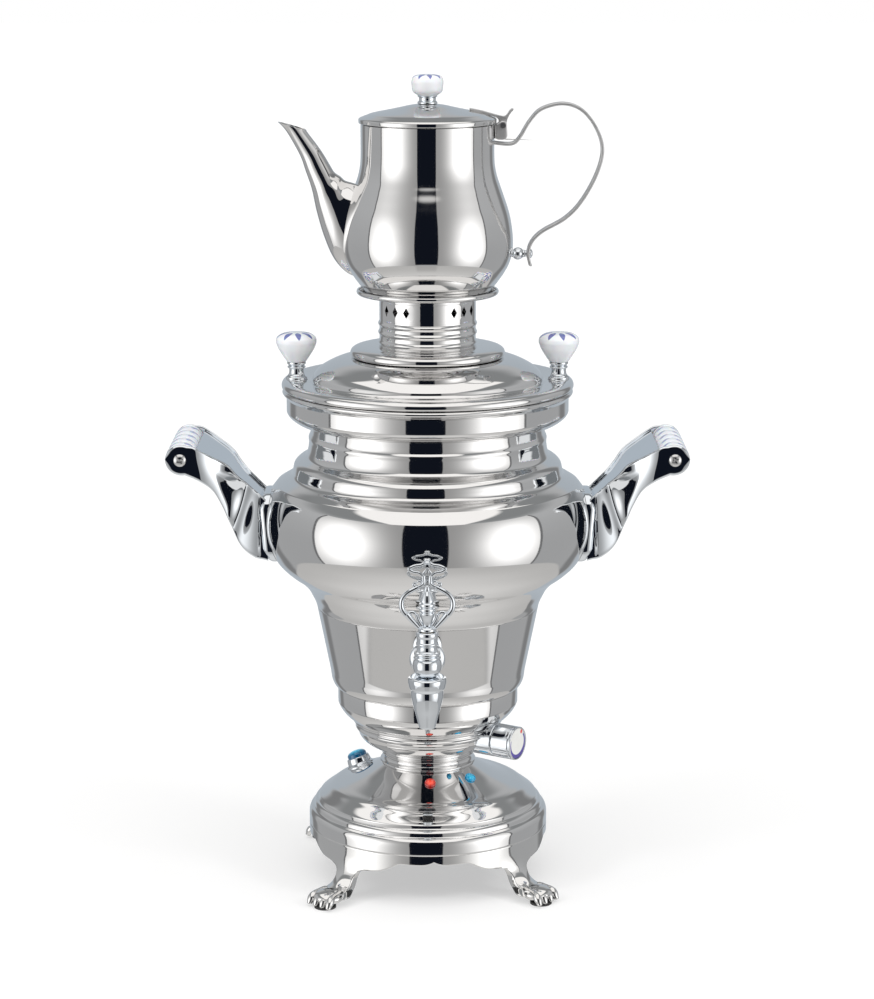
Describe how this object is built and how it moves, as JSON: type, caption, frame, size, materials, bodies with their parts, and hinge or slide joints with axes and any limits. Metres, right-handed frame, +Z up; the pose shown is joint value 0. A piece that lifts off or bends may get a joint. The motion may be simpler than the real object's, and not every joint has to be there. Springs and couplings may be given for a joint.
{
  "type": "samovar",
  "caption": "Polished steel electric samovar on claw feet, with a front tap, porcelain-gripped side handles, a lift-off lid and a spouted teapot on a pierced crown.",
  "frame": {"origin": "centre of the base on the table plane, under the vertical axis of the body", "axes": "+Z up, -Y towards the tap (the front), +X towards the teapot's handle, -X towards its spout"},
  "size_m": [0.333, 0.2351, 0.524],
  "materials": {
    "steel": "mirror-polished stainless steel sheet",
    "chrome": "bright chrome plating on cast zinc",
    "cast_chrome": "polished nickel-chrome plating on a casting",
    "plain_steel": "plain zinc-plated steel",
    "heater": "dull tinned heater tube",
    "porcelain": "white glazed porcelain with blue brush marks",
    "rubber": "black moulded rubber",
    "black_paint": "matt black stoved paint",
    "black_plastic": "black heat-proof moulding",
    "brass": "plain turned brass",
    "lead_sleeve": "silicone-sleeved lead",
    "blue_lens": "clear cyan-blue moulding",
    "red_lens": "clear red moulding",
    "dial_white": "white printed disc"
  },
  "bodies": {
    "stand": {"foot_ring": "cast_chrome", "foot_pads": "rubber", "base_plate": "black_paint", "base_plate_screws": "plain_steel", "base_dome": "steel", "pedestal_neck": "steel", "lower_bowl": "steel", "tie_rod": "plain_steel", "tank": "steel", "tank_belly": "steel", "tank_mouth": "steel", "collar": "steel", "heating_element": "heater", "element_glands": "brass", "thermal_cutout": "black_plastic", "power_inlet": "black_plastic", "inlet_pins": "brass", "wiring": "lead_sleeve", "thermostat_body": "black_plastic", "thermostat_bush": "brass", "thermostat_sleeve": "chrome", "switch_body": "black_plastic", "switch_bezel": "chrome", "red_lamp": "red_lens", "blue_lamp": "blue_lens", "tap_body": "chrome", "tap_nut": "plain_steel", "tap_nozzle": "chrome", "tap_bonnet": "chrome", "handle_bracket_left": "chrome", "handle_bracket_right": "chrome", "handle_grip_left": "porcelain", "handle_grip_right": "porcelain", "handle_bolts": "plain_steel", "grip_screws": "plain_steel", "gaskets": "rubber"},
    "tap_valve": {"tap_plug": "brass", "tap_key": "chrome"},
    "thermostat": {"thermostat_shaft": "plain_steel", "thermostat_knob": "chrome", "thermostat_dial": "dial_white"},
    "button": {"switch_button": "blue_lens"},
    "lid": {"lid_dome": "steel", "lid_tier": "steel", "lid_skirt": "steel", "lid_knob_stems": "chrome", "lid_knobs": "porcelain", "lid_knob_screws": "plain_steel"},
    "crown": {"crown_gallery": "steel", "crown_dish": "steel"},
    "teapot": {"teapot_body": "steel", "teapot_spout": "steel", "teapot_handle": "steel", "teapot_handle_spacer": "chrome", "teapot_hinge_bracket": "steel", "teapot_hinge_pin": "steel"},
    "pot_lid": {"teapot_lid": "steel", "teapot_lid_strap": "steel", "teapot_lid_ferrule": "chrome", "teapot_lid_knob": "porcelain"}
  },
  "joints": [
    {"name": "tap_turn", "type": "hinge", "parent": "stand", "child": "tap_valve", "pos_m": [0, -0.118, 0.1728], "axis": [0, 0, 1], "range_deg": [0, 90]},
    {"name": "thermostat_turn", "type": "hinge", "parent": "stand", "child": "thermostat", "pos_m": [0, 0, 0.098], "axis": [-0.8443, 0.5358, 0], "range_deg": [0, 270]},
    {"name": "switch_press", "type": "slide", "parent": "stand", "child": "button", "axis": [0.3591, -0.191, -0.9135], "range_m": [0, 0.002], "stiffness_N_per_m": 400, "springref_m": -0.001},
    {"name": "lid_lift", "type": "slide", "parent": "stand", "child": "lid", "axis": [0, 0, 1], "range_m": [0, 0.12]},
    {"name": "crown_lift", "type": "slide", "parent": "lid", "child": "crown", "axis": [0, 0, 1], "range_m": [0, 0.06]},
    {"name": "teapot_lift", "type": "slide", "parent": "crown", "child": "teapot", "axis": [0, 0, 1], "range_m": [0, 0.08]},
    {"name": "teapot_lid_hinge", "type": "hinge", "parent": "teapot", "child": "pot_lid", "pos_m": [0.0474, 0, 0.4925], "axis": [0, 1, 0], "range_deg": [0, 80]}
  ]
}
